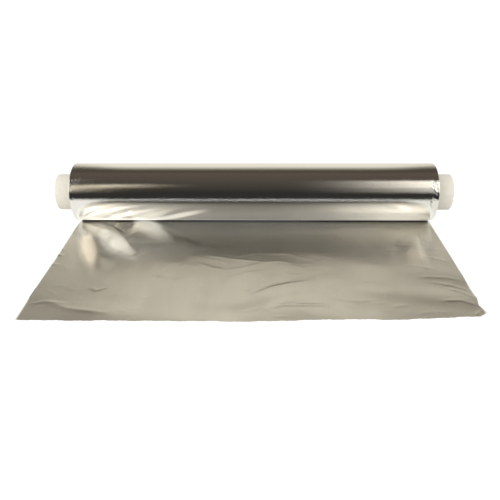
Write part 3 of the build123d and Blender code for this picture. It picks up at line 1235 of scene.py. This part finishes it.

# %% [markdown]
# ## Light that the pulled length throws up
# The satin side of a real sheet gathers light from the whole room and glows at the roll's foot. A
# clear card just over the sheet adds that glow to the roll's underside. Seen from below it adds
# the patches of light that the curved roll throws back on the creased corner and on both sides.
# A renderer finds such light only with very many samples, so the script places it here.

# %% The clear card's shape
sheet_glow, share_across, share_up = new_grid("sheet_glow", 2, 80)
glow_y = np.interp(share_up, [0, 0.4, 1], [-sheet_reach, -60 * MM, -7 * MM])
belly = axis_height - np.sqrt(np.maximum(roll_radius**2 - glow_y**2, 0))
glow_z = np.minimum(0.5 * belly, 7 * MM)
glow_x = (2 * share_across - 1) * 1.17 * half_width
write_vertices(sheet_glow, np.column_stack((glow_x, glow_y, glow_z)))
print("the clear card rises to", round(glow_z.max() / MM, 2), "mm")


# %% Glow of the card's upper side
def tinted(colour, share):
    """A colour times a number."""
    inputs = {0: colour, 1: share}
    return add_node(share.id_data, "VectorMath", inputs, operation="MULTIPLY").outputs[0]


def add_colours(first, *others):
    for other in others:
        inputs = {0: first, 1: other}
        first = add_node(first.id_data, "VectorMath", inputs, operation="ADD").outputs[0]
    return first


def slanted_streak(start, *limits):
    """A streak over the card that runs towards the right and the front, from a place on X."""
    off = plus(glow_out, 0.015, times(minus(glow_across, start), 0.45))
    return times(band(off, -0.009, -0.003, 0.003, 0.008), band(glow_across, *limits))


sheet_glow_light, tree = empty_material("sheet_glow_light")
glow_place = add_node(tree, "TexCoord").outputs["Object"]
glow_across, glow_out, _ = add_node(tree, "SeparateXYZ", {0: glow_place}).outputs
glow_tint = (1.0, 0.965, 0.86)
strip_levels = [
    (0.052, 0.0), (0.058, 0.42), (0.09, 0.60), (0.14, 0.66), (0.18, 0.47), (0.22, 0.34),
    (0.27, 0.28), (0.316, 0.23), (0.41, 0.175), (0.50, 0.145), (0.60, 0.155), (0.70, 0.22),
    (0.774, 0.36), (0.838, 0.52), (0.876, 0.54), (0.914, 0.45), (0.945, 0.22), (0.955, 0.0),
]
strip_stops = [(place, tuple(level * part for part in glow_tint)) for place, level in strip_levels]
level = ramp(plus(times(glow_across, 2.0), 0.5), strip_stops)
near = band(glow_out, -0.135, -0.050, -0.0125, -0.0105)
at_foot = band(glow_out, -0.020, -0.015, -0.0125, -0.0105)
foot = times(at_foot, 0.24, band(glow_across, -0.226, -0.222, 0.222, 0.226))
low_left_out = band(glow_out, -0.026, -0.021, -0.0130, -0.0110)
low_left = times(low_left_out, band(glow_across, -0.225, -0.205, -0.150, -0.126))
streaks = plus(
    slanted_streak(-0.128, -0.142, -0.126, -0.086, -0.050),
    slanted_streak(-0.203, -0.195, -0.170, -0.142, -0.112),
    low_left,
)
extra = plus(times(streaks, 0.52), foot)
all_glow = add_colours(tinted(level, near), tinted(glow_tint, extra))

# The glow is full in a first mirror, weak in a second one, and gone after that
depth = add_node(tree, "LightPath").outputs["Glossy Depth"]
first_mirror = maths("LESS_THAN", depth, 1.5)
second_mirror = maths("LESS_THAN", depth, 2.5)
depth_share = plus(times(first_mirror, 0.78), times(second_mirror, 0.22))
far_out = band(glow_out, -0.30, -0.25, -0.060, -0.026)
only_second = times(minus(second_mirror, first_mirror), far_out, 0.10)
upper_glow = add_colours(tinted(all_glow, depth_share), tinted(glow_tint, only_second))
print("upper glow uses", len(tree.nodes), "nodes")


# %% Patches of light that the card's underside throws on the sheet
def thrown_patch(start, end, half_wide, strength):
    """A soft patch of light along a line over the card, given in millimetres."""
    run = (Vector(end) - Vector(start)) * MM
    way = run.normalized()
    wide, past = half_wide * MM, run.length
    from_x, from_y = minus(glow_across, start[0] * MM), minus(glow_out, start[1] * MM)
    along = plus(times(from_x, way.x), times(from_y, way.y))
    off = minus(times(from_y, way.x), times(from_x, way.y))
    from_belly = times(minus(along, 0.4 * past), 2 / past)
    taper = plus(times(from_belly, from_belly), 0.85)
    lengthways = band(along, -0.5 * wide, 0.4 * wide, past - 2 * wide, past + 1.4 * wide)
    sidelong = band(times(off, taper), -wide, -0.3 * wide, 0.3 * wide, wide)
    return times(lengthways, sidelong, strength)


silver = plus(
    thrown_patch((-149, -10), (-108, -54), 17, 0.58),
    thrown_patch((-190, -44), (-139, -102), 13, 0.52),
    thrown_patch((-176, -80), (-66, -84), 30, 0.12),
)
copper = plus(
    thrown_patch((-207, -52), (-180, -126), 13, 0.52),
    thrown_patch((193, -76), (184, -120), 16, 0.17),
)
steel = thrown_patch((-130, -26), (176, -26), 24, 0.062)
roll_throws = add_colours(
    tinted((1.0, 0.985, 0.93), silver),
    tinted((0.86, 0.93, 1.0), steel),
    tinted((1.0, 0.86, 0.68), copper),
)
under_side = add_node(tree, "NewGeometry").outputs["Backfacing"]
seen_glow = mix_colour(under_side, upper_glow, roll_throws)
added = add_node(tree, "Emission", {"Color": seen_glow, "Strength": second_mirror})
both = add_node(tree, "AddShader", {0: add_node(tree, "BsdfTransparent"), 1: added})
add_node(tree, "OutputMaterial", {"Surface": both})
only_in_reflections(sheet_glow, sheet_glow_light)
print("both sides of the clear card use", len(tree.nodes), "nodes")

# %% [markdown]
# ## Lamps
# The hood gives the foil its stripes, but it doesn't light the paper core or shade the floor.
# Three soft boxes, two in front and one above and behind, do that. Reflections don't see them, so
# they leave no bright squares on the foil.

# %% Lamps
lamp_target = Vector((0, -0.08, 0))
for name, place, size, power, colour in (
    ("left_soft_box", (-1.3, -1.3, 0.7), 0.9, 13.0, (1.0, 0.98, 0.95)),
    ("right_soft_box", (1.4, -1.3, 0.7), 0.8, 6.5, (1.0, 0.96, 0.91)),
    ("top_soft_box", (-0.3, 0.9, 1.9), 1.2, 4.5, (1.0, 0.99, 0.97)),
):
    deselect_everything()
    bpy.ops.object.light_add(type="AREA", location=place)
    lamp = bpy.context.object
    lamp.name = name
    lamp.data.shape = "SQUARE"
    lamp.data.size = size
    lamp.data.energy = power
    lamp.data.color = colour
    lamp.rotation_euler = (lamp_target - Vector(place)).to_track_quat("-Z", "Y").to_euler()
    lamp.visible_glossy = False
    print(name, power, "watts")
bpy.context.scene.view_settings.view_transform = "Standard"
